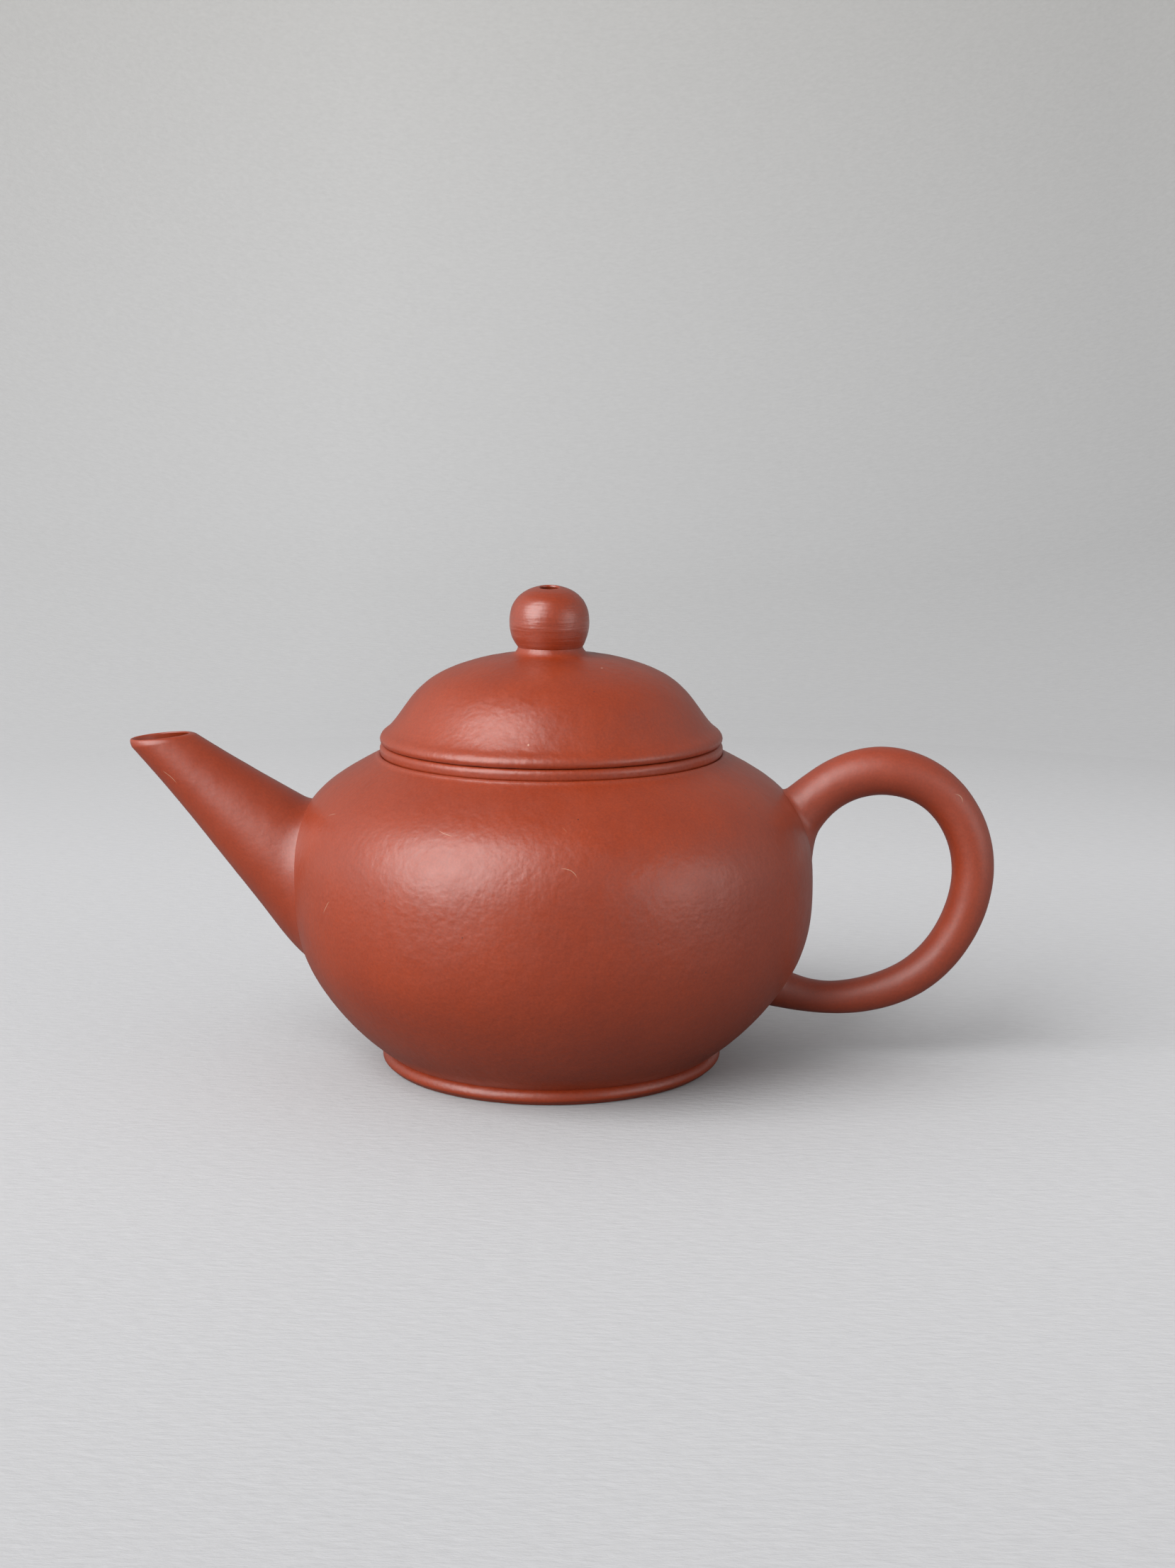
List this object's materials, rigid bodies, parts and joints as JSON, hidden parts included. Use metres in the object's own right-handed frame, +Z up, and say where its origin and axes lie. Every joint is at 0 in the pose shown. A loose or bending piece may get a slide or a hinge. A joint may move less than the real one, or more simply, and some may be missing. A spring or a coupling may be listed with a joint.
{
  "type": "clay teapot",
  "caption": "Small round unglazed clay teapot with a straight tapering spout, an ear-shaped handle and a domed knobbed lid that lifts off and turns in its seat.",
  "frame": {"origin": "on the plane the foot ring rests on, at the middle of the object's length and width; the pot's vertical axis stands 1.65 mm from it, towards the spout", "axes": "+Z up along the pot's axis, the spout points along -X and the handle along +X"},
  "size_m": [0.1234, 0.0744, 0.0683],
  "materials": {
    "body_wall": "burnished satin, unglazed",
    "shoulder_disc": "burnished satin, unglazed",
    "base_disc": "matt, unglazed",
    "foot_ring": "burnished satin, unglazed",
    "mouth_ring": "burnished satin, unglazed",
    "spout": "burnished satin, unglazed",
    "spout_strainer": "matt, unglazed",
    "handle": "burnished satin, unglazed",
    "lid_flange": "matt, unglazed",
    "lid_rim": "burnished satin, unglazed",
    "lid_dome": "burnished satin, unglazed",
    "knob": "burnished satin, unglazed"
  },
  "bodies": {
    "pot": {"body_wall": "body_wall", "shoulder_disc": "shoulder_disc", "base_disc": "base_disc", "foot_ring": "foot_ring", "mouth_ring": "mouth_ring", "spout": "spout", "spout_strainer": "spout_strainer", "handle": "handle"},
    "lid_locator": {"lid_flange": "lid_flange"},
    "lid": {"lid_rim": "lid_rim", "lid_dome": "lid_dome", "knob": "knob"}
  },
  "joints": [
    {"name": "lid_lift", "type": "slide", "parent": "pot", "child": "lid_locator", "axis": [0, 0, 1], "range_m": [0, 0.05]},
    {"name": "lid_turn", "type": "hinge", "parent": "lid_locator", "child": "lid", "pos_m": [-0.00165, 0, 0.0462], "axis": [0, 0, 1], "continuous": true}
  ]
}
